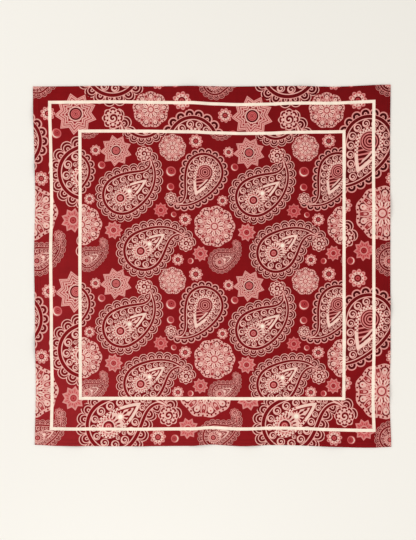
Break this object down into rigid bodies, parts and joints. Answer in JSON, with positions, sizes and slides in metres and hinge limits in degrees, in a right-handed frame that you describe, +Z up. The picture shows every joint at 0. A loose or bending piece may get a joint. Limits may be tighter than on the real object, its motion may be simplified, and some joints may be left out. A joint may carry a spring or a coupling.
{
  "type": "bandana",
  "caption": "Square printed cotton bandana with a framed paisley ground, narrowly hemmed all round and laid flat, face up.",
  "frame": {"origin": "middle of the bounding box of the cloth, on the surface that it lies on", "axes": "+X along the bottom edge towards the right, +Y up the cloth towards the top edge, +Z up off the surface, out of the printed face"},
  "size_m": [0.5538, 0.5614, 0.0056],
  "materials": {
    "printed_cotton": "dark red plain-weave cotton with a cream print, soft low sheen",
    "hem_cotton": "the same cotton's paler reverse, turned under and stitched with red thread",
    "sewing_thread": "matt red sewing cotton"
  },
  "bodies": {
    "root": {"panel": "printed_cotton", "hem_top": "hem_cotton", "hem_right": "hem_cotton", "hem_bottom": "hem_cotton", "hem_left": "hem_cotton"}
  },
  "joints": []
}
